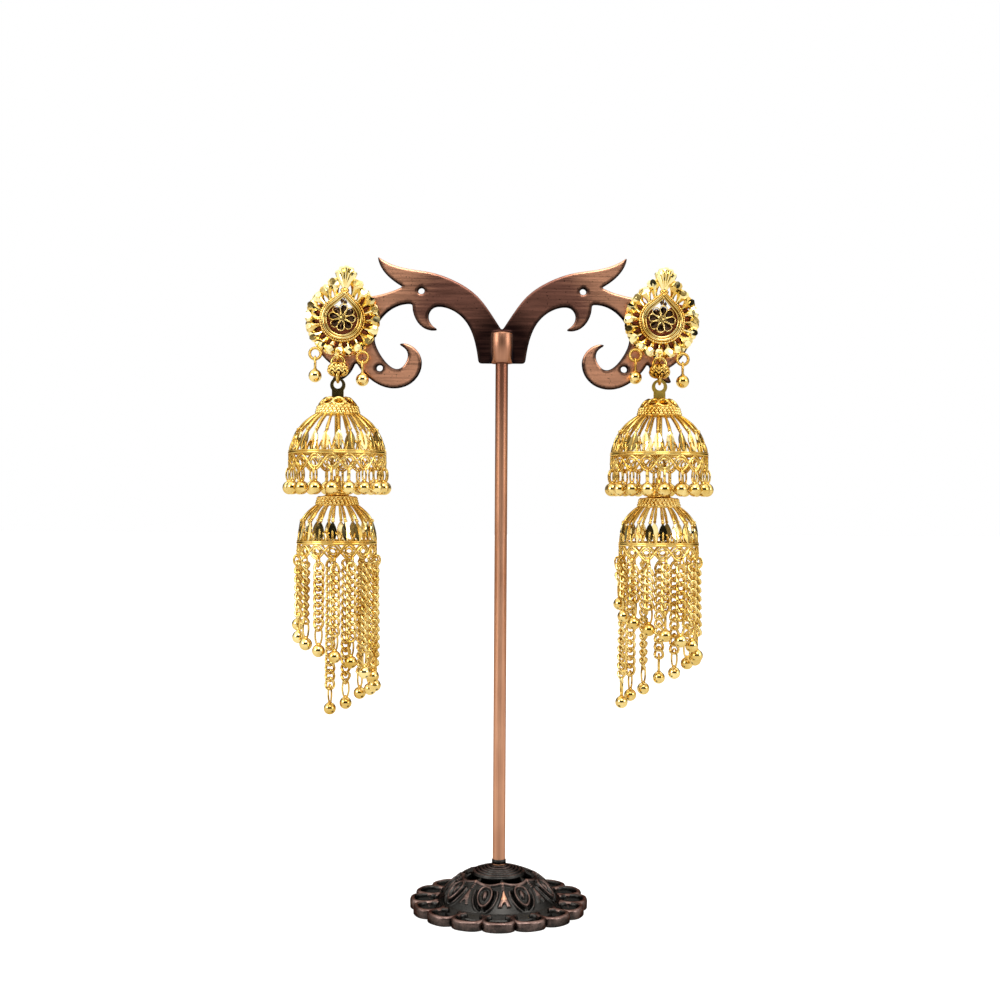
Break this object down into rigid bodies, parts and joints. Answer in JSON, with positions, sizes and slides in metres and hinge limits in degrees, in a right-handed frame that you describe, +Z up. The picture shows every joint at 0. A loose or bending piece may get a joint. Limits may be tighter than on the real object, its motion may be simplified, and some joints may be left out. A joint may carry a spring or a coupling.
{
  "type": "pair of jhumka earrings on an earring stand",
  "caption": "Jhumka drop earrings with stacked openwork bells and chain fringes, pinned to the scrolled arms of a small metal earring stand.",
  "frame": {"origin": "centre of the base's underside, on the pole's axis, on the surface that the stand rests on", "axes": "+Z up along the pole, +X to the right earring as seen from the front, -Y towards the front"},
  "size_m": [0.0845, 0.0354, 0.1298],
  "materials": {
    "gold": "polished gold plate",
    "dark_copper": "blackened cast copper plate, worn bright at its edges",
    "brushed_copper": "brushed copper plate",
    "antique_copper": "antique copper plate, brushed, darker towards the collar"
  },
  "bodies": {
    "stand": {"stand_base": "dark_copper", "stand_pole": "brushed_copper", "stand_arms": "antique_copper", "left_stud_plate": "gold", "left_ear_post": "gold", "left_inner_side_drop": "gold", "left_outer_side_drop": "gold", "right_stud_plate": "gold", "right_ear_post": "gold", "right_inner_side_drop": "gold", "right_outer_side_drop": "gold"},
    "left_link": {"left_link_rosette": "gold"},
    "left_upper_drop": {"left_dome_bail": "gold", "left_upper_dome": "gold", "left_upper_bead_drops": "gold", "left_lower_dome_hook": "gold"},
    "left_lower_drop": {"left_lower_dome": "gold", "left_chain_01": "gold", "left_chain_02": "gold", "left_chain_03": "gold", "left_chain_04": "gold", "left_chain_05": "gold", "left_chain_06": "gold", "left_chain_07": "gold", "left_chain_08": "gold", "left_chain_09": "gold", "left_chain_10": "gold", "left_chain_11": "gold", "left_chain_12": "gold", "left_chain_13": "gold"},
    "right_link": {"right_link_rosette": "gold"},
    "right_upper_drop": {"right_dome_bail": "gold", "right_upper_dome": "gold", "right_upper_bead_drops": "gold", "right_lower_dome_hook": "gold"},
    "right_lower_drop": {"right_lower_dome": "gold", "right_chain_01": "gold", "right_chain_02": "gold", "right_chain_03": "gold", "right_chain_04": "gold", "right_chain_05": "gold", "right_chain_06": "gold", "right_chain_07": "gold", "right_chain_08": "gold", "right_chain_09": "gold", "right_chain_10": "gold", "right_chain_11": "gold", "right_chain_12": "gold", "right_chain_13": "gold", "right_chain_14": "gold", "right_chain_15": "gold"}
  },
  "joints": [
    {"name": "left_link_swing", "type": "hinge", "parent": "stand", "child": "left_link", "pos_m": [-0.0323, -0.004, 0.1094], "axis": [1, 0, 0], "range_deg": [-35, 12]},
    {"name": "left_upper_drop_swing", "type": "hinge", "parent": "left_link", "child": "left_upper_drop", "pos_m": [-0.0323, -0.004, 0.10435], "axis": [0, 1, 0], "range_deg": [-10, 35]},
    {"name": "left_lower_drop_swing", "type": "hinge", "parent": "left_upper_drop", "child": "left_lower_drop", "pos_m": [-0.0323, -0.004, 0.0882], "axis": [0, 1, 0], "range_deg": [-12, 12]},
    {"name": "right_link_swing", "type": "hinge", "parent": "stand", "child": "right_link", "pos_m": [0.0311, -0.004, 0.1094], "axis": [1, 0, 0], "range_deg": [-35, 12]},
    {"name": "right_upper_drop_swing", "type": "hinge", "parent": "right_link", "child": "right_upper_drop", "pos_m": [0.0311, -0.004, 0.10435], "axis": [0, 1, 0], "range_deg": [-35, 10]},
    {"name": "right_lower_drop_swing", "type": "hinge", "parent": "right_upper_drop", "child": "right_lower_drop", "pos_m": [0.0311, -0.004, 0.0882], "axis": [0, 1, 0], "range_deg": [-12, 12]}
  ]
}
